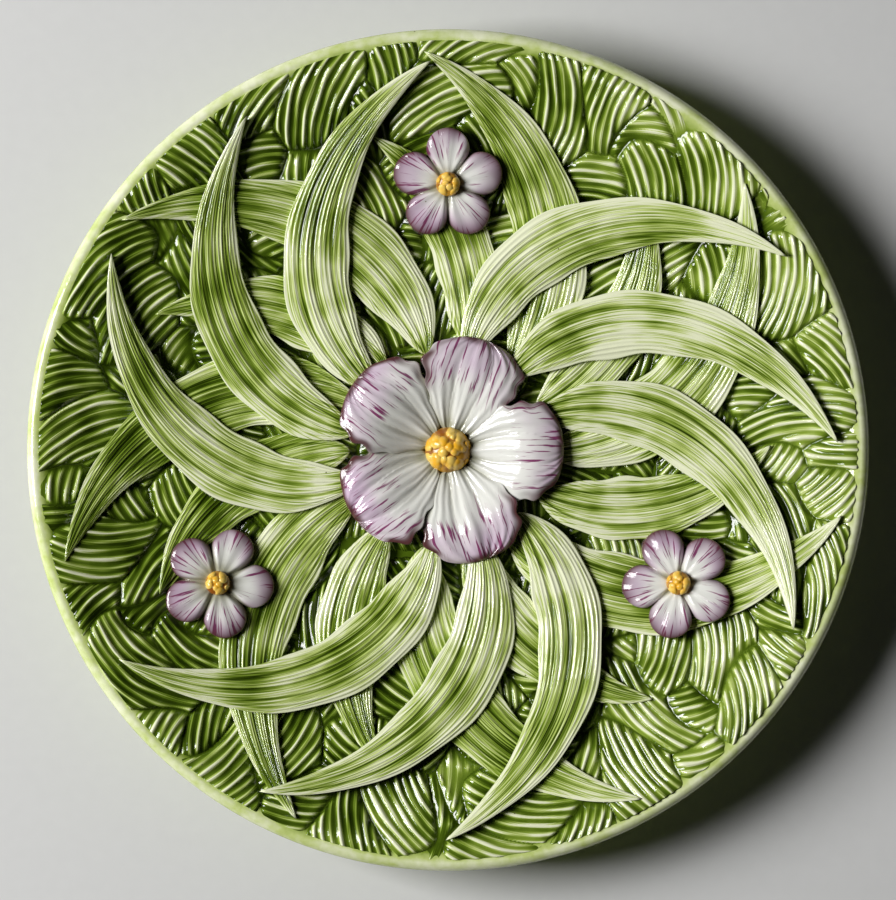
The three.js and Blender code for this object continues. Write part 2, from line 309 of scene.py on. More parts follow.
@dataclass(frozen=True)
class Shell:
    """The mesh of a closed sprig: a globe whose girth is shared between top, walls and back.

    Attributes:
        girth: points around a sprig, a multiple of four.
        stations: steps from end to end.
        wall_steps: steps down each wall.
        back_steps: steps across the back.
    """

    girth: int
    stations: int
    wall_steps: int = 6
    back_steps: int = 4

    def mesh(self, name: str) -> Mesh:
        """Makes the globe.

        Args:
            name: the mesh's name.

        Returns:
            The mesh.
        """
        globe = bmesh.new()
        bmesh.ops.create_uvsphere(globe, u_segments=self.girth, v_segments=self.stations, radius=1.0)
        mesh = bpy.data.meshes.new(name)
        globe.to_mesh(mesh)
        globe.free()
        return mesh

    def places(self, mesh: Mesh) -> tuple[Array, Array]:
        """Reads where the vertices lie on the globe.

        Args:
            mesh: a mesh made by this shell, before its vertices are moved.

        Returns:
            The share of the way from pole to pole, and the step around the axis.
        """
        points = read_points(mesh)
        along = np.arccos(np.clip(points[:, 2], -1.0, 1.0)) / math.pi
        step = np.round(np.arctan2(points[:, 1], points[:, 0]) / TURN * self.girth) % self.girth
        return along, step

    def section(self, step: Array) -> tuple[Array, Array]:
        """Shares out a sprig's girth.

        Args:
            step: steps around the sprig.

        Returns:
            The place across it from -1 to 1, and the depth from 0 on the top to 1 at the foot.
        """
        top = self.girth - 2 * self.wall_steps - self.back_steps
        knots = np.cumsum([0, top, self.wall_steps, self.back_steps, self.wall_steps])
        across = np.interp(step, knots, [-1.0, 1.0, 1.0, -1.0, -1.0])
        depth = np.interp(step, knots, [0.0, 0.0, 1.0, 1.0, 0.0])
        return across, depth


def comb_lines(phase: Array, along: Array, seed: Array | float, crest: Crest = Crest.SCRATCHED) -> Array:
    """Draws lines which waver and come and go; the factors of its waves only keep them out of step.

    Args:
        phase: places across the lines, counted in lines.
        along: shares of the way along the lines.
        seed: a number of its own for each run of lines.
        crest: how the lines are worked.

    Returns:
        From 0 in a groove to 1 on a full crest.
    """
    slow = SLOW_WAVER * np.sin(6.1 * along + 0.7 * phase + 2.4 * seed)
    quick = QUICK_WAVER * np.sin(17 * along - 1.3 * phase + 5.1 * seed)
    phase = phase + (slow + quick)
    line = np.round(phase)
    coming = np.sin(2.4 * line + 7 * seed + along * (6 + 3 * np.sin(1.7 * line)))
    strength = 1 - LINE_FADING * (1 - coming)
    return strength * np.abs(np.cos(math.pi * phase)) ** crest.value


@dataclass(frozen=True)
class Thicket:
    """A ground of short leaves that lie across each other, each combed its own way.

    Attributes:
        heading_deg: the middle of the angles between the leaves and the way outwards.
        swell: how far a leaf's middle stands over its margin.
        level_step: how far the highest leaf stands over the lowest.
        level_reach: how far a high leaf spreads over its neighbours.
        upper_softness: how fast a leaf falls to the channel where it lies over the next one.
        lower_softness: how fast it falls where it lies under it; both are differences of nearness.
    """

    count: int = 150
    length: float = 27 * MM
    width: float = 13 * MM
    heading_deg: float = 38.0
    heading_spread_deg: float = 34.0
    bend: float = 0.5
    swell: float = 0.4 * MM
    level_step: float = 0.3 * MM
    level_reach: float = 0.5
    level_contrast: float = 4.0
    line_pitch: float = 1.8 * MM
    line_depth: float = 0.6 * MM
    channel_depth: float = 0.6 * MM
    upper_softness: float = 0.13
    lower_softness: float = 0.36

    @staticmethod
    def _level(number: Array | int) -> Array:
        """How high a leaf lies among the others, from -1 to 1."""
        return np.sin(3.1 * number)

    def _lie(self, number: int) -> tuple[float, float, float, int]:
        """Lays one leaf of the pattern.

        Args:
            number: the leaf's number.

        Returns:
            The x and y of its middle, its heading, and the side that it bends to.
        """
        radius = DISH.rim_radius * math.sqrt((number + 0.5) / self.count)
        angle = GOLDEN_ANGLE * number
        side = 1 if math.sin(2.2 * number) > 0 else -1
        turned = math.radians(self.heading_deg + self.heading_spread_deg * math.sin(1.3 * number))
        return radius * math.cos(angle), radius * math.sin(angle), angle + side * turned, side

    def carve(self, x: Array, y: Array) -> Carving:
        """Finds the nearest leaf of the pattern for each point, and its lines.

        Args:
            x: the points' x.
            y: the points' y.

        Returns:
            The carving of the leaves' levels, lines and channels.
        """
        first, second = np.full((2, len(x)), -np.inf)
        along, across, number, next_number = np.zeros((4, len(x)))
        middle_x, middle_y = (x.min() + x.max()) / 2, (y.min() + y.max()) / 2
        extent = np.max(np.hypot(x - middle_x, y - middle_y))
        for i in range(self.count):
            centre_x, centre_y, heading, side = self._lie(i)
            if math.hypot(centre_x - middle_x, centre_y - middle_y) > extent + self.length:
                continue
            right, up = x - centre_x, y - centre_y
            u = right * math.cos(heading) + up * math.sin(heading)
            v = up * math.cos(heading) - right * math.sin(heading) - side * self.bend * u**2 / self.length
            near = self.level_reach * self._level(i) - (2 * u / self.length) ** 2 - (2 * v / self.width) ** 2
            wins = near > first
            next_number = np.where(wins, number, np.where(near > second, i, next_number))
            second = np.maximum(second, np.minimum(first, near))
            first = np.maximum(first, near)
            along = np.where(wins, u, along)
            across = np.where(wins, v, across)
            number = np.where(wins, i, number)
        level = self._level(number)
        below = 1 / (1 + np.exp(self.level_contrast * (level - self._level(next_number))))
        softness = self.upper_softness + (self.lower_softness - self.upper_softness) * below
        channel = np.exp(-(((first - second) / softness) ** 2))
        ridge = comb_lines(across / self.line_pitch, along / self.length, number)
        lines = self.line_depth * (ridge - MEAN_RIDGE) * (1 - channel) - self.channel_depth * channel
        from_middle = 1 - np.minimum(1.0, first - second)
        body = -self.swell * from_middle**2 - 0.5 * self.level_step * (1 - level)
        lay = lay_of(along, across, STROKE_STEP * number)
        return Carving(height=body + lines, comb=np.maximum(1 - ridge, channel), lay=lay)


@dataclass(frozen=True, kw_only=True)
class Sprig:
    """A piece of relief that is shaped by itself and pressed onto the plate."""

    lift: float
    shell: Shell

    def form(self, along: Array, step: Array, stand: Stand) -> Form:
        """The form of the sprig's shell, from its places on the globe."""
        raise NotImplementedError

    def mesh(self, name: str, stand: Stand) -> Mesh:
        """Makes one sprig.

        Args:
            name: the mesh's name.
            stand: where the sprig stands.

        Returns:
            The mesh, in place.
        """
        mesh = self.shell.mesh(name)
        along, step = self.shell.places(mesh)
        write_form(mesh, self.form(along, step, stand))
        return mesh


@dataclass(frozen=True, kw_only=True)
class Blade(Sprig):
    """A leaf along a curving midrib, pointed at both ends, with ribs, carved lines and standing walls.

    Attributes:
        margin_cut: how much of the carving runs on over the smooth margin.
        end_cut: how soon the carving is at its full depth, away from the two ends.
    """

    base_radius: float
    tip_radius: float
    thickness: float
    width: float = 0.0
    swirl_deg: float = 0.0
    arching: float = 1.5
    widest: float = 0.42
    roundness: float = 0.85
    edge_share: float = 0.4
    twist: float = 0.3 * MM
    wobble: float = 0.04
    ribs: int = 4
    rib_depth: float = 0.4 * MM
    rib_waver: float = 0.05
    rib_fading: float = 0.2
    crest: Crest = Crest.SCRATCHED
    line_pitch: float = 1.0 * MM
    line_depth: float = 0.2 * MM
    line_shade: float = 0.4
    smooth_margin: float = 0.5 * MM
    margin_cut: float = 0.0
    end_cut: float = 1.6
    outline_width: float = 0.6 * MM
    wall_shade: float = 1.4
    wall_flare: float = 0.35 * MM

    @property
    def reach(self) -> float:
        """The distance from base to tip, measured away from the middle of the plate."""
        return self.tip_radius - self.base_radius

    def fullness(self, along: Array) -> Array:
        """From 0 at the two pointed ends to 1 where the leaf is widest."""
        skew = math.log(0.5) / math.log(self.widest)
        return np.maximum(0.0, np.sin(math.pi * along**skew)) ** self.roundness

    def half_width(self, along: Array) -> Array:
        """The distance from the midrib to the margin."""
        return 0.5 * self.width * self.fullness(along)

    def lift_at(self, radius: Array) -> Array:
        """The height of the leaf's back over the eating surface."""
        return np.full_like(radius, self.lift)

    def lean_at(self, along: Array, across: Array) -> Array:
        """How far one side stands up over its neighbour, and the other side sinks."""
        return np.zeros_like(along)

    def plan(self, along: Array, offset: Array, turn: float) -> tuple[Array, Array]:
        """Places points beside a midrib that swings further round the plate as it runs outwards.

        Args:
            along: shares of the way from base to tip.
            offset: distances from the midrib.
            turn: the leaf's angle about the plate's axis.

        Returns:
            Their x and their y.
        """
        swirl = math.radians(self.swirl_deg)
        radius = self.base_radius + self.reach * along
        angle = turn + swirl * along**self.arching
        turning = radius * swirl * self.arching * along ** (self.arching - 1)
        heading = angle + np.arctan2(turning, self.reach)
        x = radius * np.cos(angle) - offset * np.sin(heading)
        y = radius * np.sin(angle) + offset * np.cos(heading)
        return x, y

    def groove(self, along: Array, across: Array, seed: float) -> Array:
        """Places the grooves between the ribs, which waver a little and come and go.

        Args:
            along: shares of the way from base to tip.
            across: places across the leaf from -1 to 1.
            seed: a number of its own for each leaf.

        Returns:
            From 0 on a ridge and along the margins to 1 in a groove.
        """
        wavering = across + self.rib_waver * np.sin(5 * along + 3 * across + 2 * seed)
        ridge = np.abs(np.sin(0.5 * math.pi * self.ribs * (wavering + 1)))
        if self.crest is Crest.SMOOTHED:
            ridge = ridge**2
        coming = np.sin(4 * along + 5 * np.round(0.5 * self.ribs * wavering) + seed)
        strength = 1 - self.rib_fading * (1 - coming)
        return np.where(np.abs(wavering) > 1 - 1 / self.ribs, 0.0, strength * (1 - ridge))

    def crown(self, along: Array, across: Array, seed: float) -> Array:
        """Gives the upper side's height over the back, without the carved lines.

        Args:
            along: shares of the way from base to tip.
            across: places across the leaf from -1 to 1.
            seed: a number of its own for each leaf.

        Returns:
            The heights.
        """
        dome = self.edge_share + (1 - self.edge_share) * (1 - np.abs(across) ** 3)
        twist = self.twist * across * np.sin(3.5 * along + 2 * seed)
        ribbed = self.thickness * dome - self.rib_depth * self.groove(along, across, seed) + twist
        return np.sqrt(self.fullness(along)) * ribbed + self.lean_at(along, across)

    def carve(self, along: Array, across: Array, x: Array, y: Array, seed: float) -> Carving:
        """Cuts the lines.

        Args:
            along: shares of the way from base to tip.
            across: places across the leaf from -1 to 1.
            x: the points' x; not used here.
            y: the points' y; not used here.
            seed: a number of its own for each leaf.

        Returns:
            The carving.
        """
        ridge = comb_lines(0.5 * self.width * across / self.line_pitch, along, seed, self.crest)
        comb = np.maximum(self.line_shade * (1 - ridge), self.groove(along, across, seed))
        lay = lay_of(self.reach * along, self.half_width(along) * across, STROKE_STEP * seed)
        return Carving(height=self.line_depth * (ridge - MEAN_RIDGE), comb=comb, lay=lay)

    def form(self, along: Array, step: Array, stand: Stand) -> Form:
        """Shapes one shell into this leaf.

        Args:
            along: the shell's shares of the way from end to end.
            step: the shell's steps around.
            stand: where the leaf stands.

        Returns:
            The leaf's form.
        """
        seed = stand.seed
        across, depth = self.shell.section(step)
        full, half = self.fullness(along), self.half_width(along)
        waves = np.sin(11 * along + 3 * seed + across) + np.sin(29 * along + 5 * seed - across)
        ragged = 1 + self.wobble * waves * across**4
        outwards = across * (half * ragged + self.wall_flare * depth * np.sqrt(full))
        x, y = self.plan(along, outwards, stand.turn)
        radius = np.hypot(x, y)
        ground = DISH.surface(radius)
        carving = self.carve(along, across, x, y, seed)
        from_margin = np.minimum(half * (1 - np.abs(across)), self.reach * (1 - along))
        inside = np.clip(from_margin / self.smooth_margin, 0.0, 1.0)
        inside = self.margin_cut + (1 - self.margin_cut) * inside
        cut = carving.height * inside * np.minimum(1.0, self.end_cut * full)
        top = ground + self.lift_at(radius) + self.crown(along, across, seed) + cut
        return Form(
            points=np.stack([x, y, drop_wall(top, ground, depth)], axis=1),
            comb=carving.comb * (1 - depth) + self.wall_shade * depth,
            edge=np.exp(-((from_margin / self.outline_width) ** 4)) * fade_down(depth),
            reach=along,
            lay=carving.lay,
        )


@dataclass(frozen=True, kw_only=True)
class BroadBlade(Blade):
    """A broad leaf of the ground, which fills its share of a ring and carries a thicket of short leaves."""

    thicket: Thicket
    wedge_deg: float
    rib_depth: float = 0.0
    twist: float = 0.0
    wobble: float = 0.0
    edge_share: float = 0.72
    margin_cut: float = 1.0
    lean: float = 0.015 * MM
    end_rounding: float = 0.12
    rise_from: float = 40 * MM
    rise_to: float = 54 * MM
    well_drop: float = 0.35 * MM
    rim_squeeze: float = 3.0 * MM
    rim_margin: float = 0.7 * MM
    lip_drop: float = 0.9 * MM

    @property
    def end(self) -> float:
        """The distance from the middle that the leaf's end can't pass."""
        return DISH.edge - self.rim_margin

    @property
    def free(self) -> float:
        """The distance from the middle up to which the leaf isn't pressed together."""
        return self.end - self.rim_squeeze

    def fullness(self, along: Array) -> Array:
        """From 0 at the two rounded ends to 1 in between."""
        near = np.clip(np.minimum(along, 1 - along) / self.end_rounding, 0.0, 1.0)
        return np.sqrt(near * (2 - near))

    def half_width(self, along: Array) -> Array:
        """The distance from the midrib to the margin, which grows with the ring."""
        radius = self.base_radius + self.reach * along
        return radius * math.radians(self.wedge_deg) * self.fullness(along)

    def plan(self, along: Array, offset: Array, turn: float) -> tuple[Array, Array]:
        """Places points on arcs about the plate's axis, and presses the arcs together at the lip.

        Args:
            along: shares of the way from base to tip.
            offset: distances from the midrib.
            turn: the leaf's angle about the plate's axis.

        Returns:
            Their x and their y.
        """
        radius = self.base_radius + self.reach * along
        angle = turn + math.radians(self.swirl_deg) * along**self.arching + offset / radius
        beyond = np.maximum(0.0, radius - self.free)
        pressed = radius - beyond + self.rim_squeeze * np.tanh(beyond / self.rim_squeeze)
        return pressed * np.cos(angle), pressed * np.sin(angle)

    def lift_at(self, radius: Array) -> Array:
        """The height of the leaf's back over the eating surface: low in the well, and sinking at the lip."""
        low = self.well_drop * (1 - ease(radius, self.rise_from, self.rise_to))
        return self.lift - low - self.lip_drop * share_between(radius, self.free, self.end) ** 2

    def lean_at(self, along: Array, across: Array) -> Array:
        """How far one side stands up over its neighbour, and the other side sinks."""
        return self.lean * across * self.fullness(along)

    def carve(self, along: Array, across: Array, x: Array, y: Array, seed: float) -> Carving:
        """The thicket's carving where the leaf lies."""
        return self.thicket.carve(x, y)


@dataclass(frozen=True, kw_only=True)
class Petal(Blade):
    """A petal of the large blossom, which springs from the well and rises over the leaves' bases."""

    crest: Crest = Crest.SMOOTHED
    ribs: int = 3
    rib_depth: float = 0.7 * MM
    rise_end: float = 19.4 * MM
    base_lift: float = 0.3 * MM
    tip_droop: float = 0.9 * MM
    overlap: float = 0.7 * MM
    wedge_deg: float = 40.0
    base_rounding: float = 0.05

    def fullness(self, along: Array) -> Array:
        """From 0 at the base's edge and the round tip to 1 in between."""
        base = share_between(along, 0.0, self.base_rounding)
        return np.sqrt((1 - share_between(along, self.widest, 1.0) ** 2) * base * (2 - base))

    def half_width(self, along: Array) -> Array:
        """The distance from the middle to the margin: the petal fills its wedge up to its round tip."""
        wedge = (self.base_radius + self.reach * along) * math.tan(math.radians(self.wedge_deg))
        return self.fullness(along) * (wedge**-4 + (0.5 * self.width) ** -4) ** -0.25

    def lift_at(self, radius: Array) -> Array:
        """The height of the petal's back over the eating surface, which rises from its base."""
        risen = self.base_lift + (self.lift - self.base_lift) * ease(radius, self.base_radius, self.rise_end)
        return risen - self.tip_droop * share_between(radius, self.rise_end, self.tip_radius) ** 2

    def lean_at(self, along: Array, across: Array) -> Array:
        """How far one side stands up over its neighbour, and the other side sinks."""
        return self.overlap * across * np.abs(across) * self.fullness(along) * np.minimum(1.0, 2 * along)


@dataclass(frozen=True, kw_only=True)
class Stud(Sprig):
    """A round sprig: one pole of its shell is the middle of its top and the other that of its back."""

    radius: float
    wall_shade: float
    top_share: float
    wall_share: float
    edge_sharpness: float = 6.0

    def spread(self, around: Array, share: Array, depth: Array) -> Array:
        """The distance from the stud's middle."""
        raise NotImplementedError

    def carve(self, around: Array, share: Array, spread: Array, seed: float) -> Carving:
        """The relief of the stud's top, with its dome."""
        raise NotImplementedError

    def form(self, along: Array, step: Array, stand: Stand) -> Form:
        """Shapes one shell into this stud.

        Args:
            along: the shell's shares of the way from pole to pole.
            step: the shell's steps around.
            stand: where the stud stands.

        Returns:
            The stud's form.
        """
        around = TURN * step / self.shell.girth
        knots = [0.0, self.top_share, self.top_share + self.wall_share, 1.0]
        share = np.interp(along, knots, [0.0, 1.0, 1.0, 0.0])
        depth = np.interp(along, knots, [0.0, 0.0, 1.0, 1.0])
        spread = self.spread(around, share, depth)
        x = stand.radius * math.cos(stand.turn) + spread * np.cos(stand.turn + around)
        y = stand.radius * math.sin(stand.turn) + spread * np.sin(stand.turn + around)
        ground = DISH.surface(np.hypot(x, y))
        carving = self.carve(around, share, spread, stand.seed)
        height = drop_wall(ground + self.lift + carving.height, ground, depth)
        return Form(
            points=np.stack([x, y, height], axis=1),
            comb=carving.comb * (1 - depth) + self.wall_shade * depth,
            edge=share**self.edge_sharpness * fade_down(depth),
            reach=share,
            lay=carving.lay,
        )


@dataclass(frozen=True, kw_only=True)
class Corolla(Stud):
    """A small blossom pressed in one piece, with round lobes for petals."""

    lift: float = 3.2 * MM
    shell: Shell = Shell(girth=160, stations=72)
    radius: float = 12 * MM
    wall_shade: float = 0.5
    top_share: float = 0.66
    wall_share: float = 0.22
    thickness: float = 2.3 * MM
    petals: int = 5
    notch: float = 0.42
    roundness: float = 0.6
    edge_share: float = 0.4
    hollow: float = 0.35
    seam_depth: float = 0.9 * MM
    seam_width: float = 0.55 * MM
    folds: int = 3
    fold_depth: float = 0.15 * MM
    wall_flare: float = 0.3 * MM
    petal_step: float = 5.0

    def lobe(self, around: Array) -> Array:
        """From 0 between two lobes to 1 along the middle of each."""
        return np.clip(np.abs(np.cos(0.5 * self.petals * around)), 0.0, 1.0)

    def outline(self, around: Array) -> Array:
        """The distance from the middle to the margin."""
        return self.radius * (1 - self.notch * (1 - self.lobe(around) ** self.roundness))

    def spread(self, around: Array, share: Array, depth: Array) -> Array:
        """The distance from the blossom's middle."""
        return share * (self.outline(around) + self.wall_flare * depth)

    def carve(self, around: Array, share: Array, spread: Array, seed: float) -> Carving:
        """Domes the lobes, folds them and parts them by seams.

        Args:
            around: angles about the blossom's middle.
            share: shares of the way from the middle to the margin.
            spread: distances from the middle.
            seed: a number of its own for each blossom.

        Returns:
            The carving, with the dome.
        """
        lobe = self.lobe(around)
        petal_turn = np.round(around * self.petals / TURN) % self.petals * TURN / self.petals
        petal_turn = np.where(around - petal_turn > math.pi, TURN, petal_turn)
        from_seam = spread * np.arcsin(lobe) * 2 / self.petals
        seam = np.exp(-((from_seam / self.seam_width) ** 2)) * np.clip(4 * share, 0.0, 1.0)
        fold = np.cos(2 * self.folds * np.arccos(lobe))
        dome = (1 - self.hollow * (1 - share) ** 2) - (1 - self.edge_share) * share**5
        return Carving(
            height=self.thickness * dome - self.seam_depth * seam + self.fold_depth * fold * share,
            comb=np.clip(0.5 - 0.5 * fold + seam, 0.0, 1.0),
            lay=lay_of(
                spread,
                self.outline(around) * (around - petal_turn),
                STROKE_STEP * seed + self.petal_step * petal_turn,
            ),
        )


@dataclass(frozen=True, kw_only=True)
class Button(Stud):
    """A domed flower centre covered with small grains, which lie on a spiral and differ a little."""

    shell: Shell = Shell(girth=96, stations=72)
    wall_shade: float = 1.0
    top_share: float = 0.74
    wall_share: float = 0.14
    height: float
    grains: int
    grain_height: float
    grain_width: float
    roundness: float = 0.8

    def spread(self, around: Array, share: Array, depth: Array) -> Array:
        """The distance from the centre's middle."""
        return self.radius * np.sin(0.5 * math.pi * share)

    def carve(self, around: Array, share: Array, spread: Array, seed: float) -> Carving:
        """Domes the centre and covers it with grains.

        Args:
            around: angles about the centre's middle.
            share: shares of the way from the middle to the margin.
            spread: distances from the middle.
            seed: a number of its own for each centre.

        Returns:
            The carving, with the dome.
        """
        x, y = spread * np.cos(around), spread * np.sin(around)
        grain = np.zeros_like(spread)
        for i in range(self.grains):
            reach = self.radius * math.sqrt((i + 0.5) / self.grains) * (1 + 0.1 * math.sin(5 * i))
            angle = GOLDEN_ANGLE * i + seed + 0.3 * math.sin(7 * i)
            gap = np.hypot(x - reach * math.cos(angle), y - reach * math.sin(angle))
            swell = self.grain_width * (1 + 0.3 * math.sin(3 * i))
            grain = np.maximum(grain, np.sqrt(np.maximum(0.0, 1 - (gap / swell) ** 2)))
        dome = self.height * np.cos(0.5 * math.pi * share) ** self.roundness
        lay = lay_of(x, y, STROKE_STEP * seed)
        return Carving(height=dome + self.grain_height * grain, comb=1 - grain, lay=lay)


@dataclass
class GlazeFlow:
    """Where the melted glaze runs: off the high edges and into the hollows of the relief.

    Attributes:
        cell: the width of a cell of the height map.
        spread: how far around a point its neighbourhood reaches.
        full_depth: the depth below the neighbourhood at which glaze pools fully.
        drift_and_side_light: how much paler the glaze is made towards +x and deeper towards -x; partly glaze
            run thinner on one side, partly painted light on the side whose slopes face the lamp.
        margin: how far the map reaches, against the plate's radius.
    """

    cell: float = 0.3 * MM
    spread: float = 2.0 * MM
    full_depth: float = 1.5 * MM
    drift_and_side_light: float = 0.5
    margin: float = 1.1

    def __post_init__(self) -> None:
        """Starts with a bare dish."""
        self.half = math.ceil(DISH.rim_radius * self.margin / self.cell)
        self.heights = np.zeros((2 * self.half, 2 * self.half))
        self.level = self.heights

    def _cells(self, points: Array) -> tuple[Array, Array]:
        """The row and column of the cell that each point lies over."""
        cells = np.clip((points[:, :2] / self.cell).astype(int) + self.half, 0, 2 * self.half - 1)
        return cells[:, 0], cells[:, 1]

    @staticmethod
    def _proud(points: Array) -> Array:
        """How far each point stands over the eating surface."""
        return points[:, 2] - DISH.surface(np.hypot(points[:, 0], points[:, 1]))

    def take(self, mesh: Mesh) -> None:
        """Adds the mesh of a piece, in place, to the height map."""
        points = read_points(mesh)
        np.maximum.at(self.heights, self._cells(points), self._proud(points))

    def settle(self) -> None:
        """Works out the level around each cell."""
        wide = self.heights
        for axis in (0, 1):
            wide = np.maximum(wide, np.maximum(np.roll(wide, 1, axis), np.roll(wide, -1, axis)))
        waves = np.fft.fftfreq(2 * self.half, self.cell)
        soften = np.exp(-2 * (math.pi * self.spread * waves) ** 2)
        self.level = np.real(np.fft.ifft2(np.fft.fft2(wide) * np.outer(soften, soften)))

    def pool(self, points: Array) -> Array:
        """How the glaze gathers at points: from -1, where it runs off thin, to 1, where it stands deep."""
        depth = (self.level[self._cells(points)] - self._proud(points)) / self.full_depth
        # Paler towards +x and deeper towards -x: partly glaze run thinner there, partly painted light on the
        # side that faces the lamp.
        return np.clip(depth - self.drift_and_side_light * points[:, 0] / DISH.rim_radius, -1, 1)


class Sketch:
    """A short hand for adding shader nodes to a tree."""

    def __init__(self, tree: bpy.types.NodeTree) -> None:
        """Takes the tree that the nodes go into."""
        self.tree = tree

    def add(self, kind: str, sockets: dict | None = None, **settings: object) -> bpy.types.Node:
        """Adds a node.

        Args:
            kind: the node's type.
            sockets: input names or numbers, with the socket to link or the value to set.
            settings: properties of the node.

        Returns:
            The node.
        """
        node = self.tree.nodes.new(kind)
        for name, value in settings.items():
            setattr(node, name, value)
        for key, value in (sockets or {}).items():
            if isinstance(value, Socket):
                self.tree.links.new(value, node.inputs[key])
            else:
                node.inputs[key].default_value = value
        return node

    def group(self, tree: bpy.types.NodeTree, sockets: dict) -> bpy.types.Node:
        """A node group, with its inputs by name."""
        return self.add("ShaderNodeGroup", sockets, node_tree=tree)

    def close_group(self, results: dict[str, Socket]) -> bpy.types.NodeTree:
        """Ends a group with its results, and gives its tree."""
        self.add("NodeGroupOutput", results)
        return self.tree

    def math(self, operation: str, first: object, second: object = 0.0) -> Socket:
        """The result of a sum on two sockets or numbers."""
        return self.add("ShaderNodeMath", {0: first, 1: second}, operation=operation).outputs[0]

    def scalar(self, name: str) -> Socket:
        """A number that the mesh holds for each vertex."""
        return self.add("ShaderNodeAttribute", attribute_name=name).outputs["Fac"]

    def vector(self, name: str) -> Socket:
        """A vector that the mesh holds for each vertex."""
        return self.add("ShaderNodeAttribute", attribute_name=name).outputs["Vector"]

    def place(self) -> Socket:
        """The place on the object."""
        return self.add("ShaderNodeTexCoord").outputs["Object"]

    def noise(self, vector: object, scale: float, detail: float = 2.0) -> Socket:
        """Soft noise around 0.5 at a place."""
        sockets = {"Vector": vector, "Scale": scale, "Detail": detail}
        return self.add("ShaderNodeTexNoise", sockets).outputs["Fac"]

    def span(self, value: object, ends: Span) -> Socket:
        """A number's smooth way from the first end, as 0, to the second, as 1."""
        sockets = {"Value": value, "From Min": ends[0], "From Max": ends[1]}
        return self.add("ShaderNodeMapRange", sockets, interpolation_type="SMOOTHSTEP").outputs[0]

    def mix(self, share: object, first: object, second: object) -> Socket:
        """A colour between two, each a socket or red, green and blue."""
        ends = [(*end, 1.0) if isinstance(end, tuple) else end for end in (first, second)]
        return self.add("ShaderNodeMix", {0: share, 6: ends[0], 7: ends[1]}, data_type="RGBA").outputs[2]

    def bump(self, height: Socket, strength: float, depth: float) -> Socket:
        """The surface's direction where a height stands out of it."""
        sockets = {"Height": height, "Strength": strength, "Distance": depth}
        return self.add("ShaderNodeBump", sockets).outputs["Normal"]

    def ramp(self, value: object, stops: tuple[Stop, ...]) -> Socket:
        """Turns a number into a colour.

        Args:
            value: the number's socket.
            stops: places from 0 to 1 with their colours.

        Returns:
            The colour's socket.
        """
        node = self.add("ShaderNodeValToRGB", {"Fac": value})
        elements = node.color_ramp.elements
        while len(elements) < len(stops):
            elements.new(1.0)
        for element, (place, colour) in zip(elements, stops):
            element.position = place
            element.color = (*colour, 1.0)
        return node.outputs["Color"]


def new_group(name: str, inputs: dict[str, str], outputs: list[str]) -> tuple[Sketch, dict[str, Socket]]:
    """Starts a shader node group.

    Args:
        name: the group's name.
        inputs: the names of its inputs, with Vector or Float.
        outputs: the names of its outputs, all numbers.

    Returns:
        A sketch for its nodes, and its input sockets by name.
    """
    tree = bpy.data.node_groups.new(name, "ShaderNodeTree")
    for label, kind in inputs.items():
        tree.interface.new_socket(label, in_out="INPUT", socket_type=f"NodeSocket{kind}")
    for label in outputs:
        tree.interface.new_socket(label, in_out="OUTPUT", socket_type="NodeSocketFloat")
    sketch = Sketch(tree)
    sources = sketch.add("NodeGroupInput").outputs
    return sketch, {label: sources[label] for label in inputs}


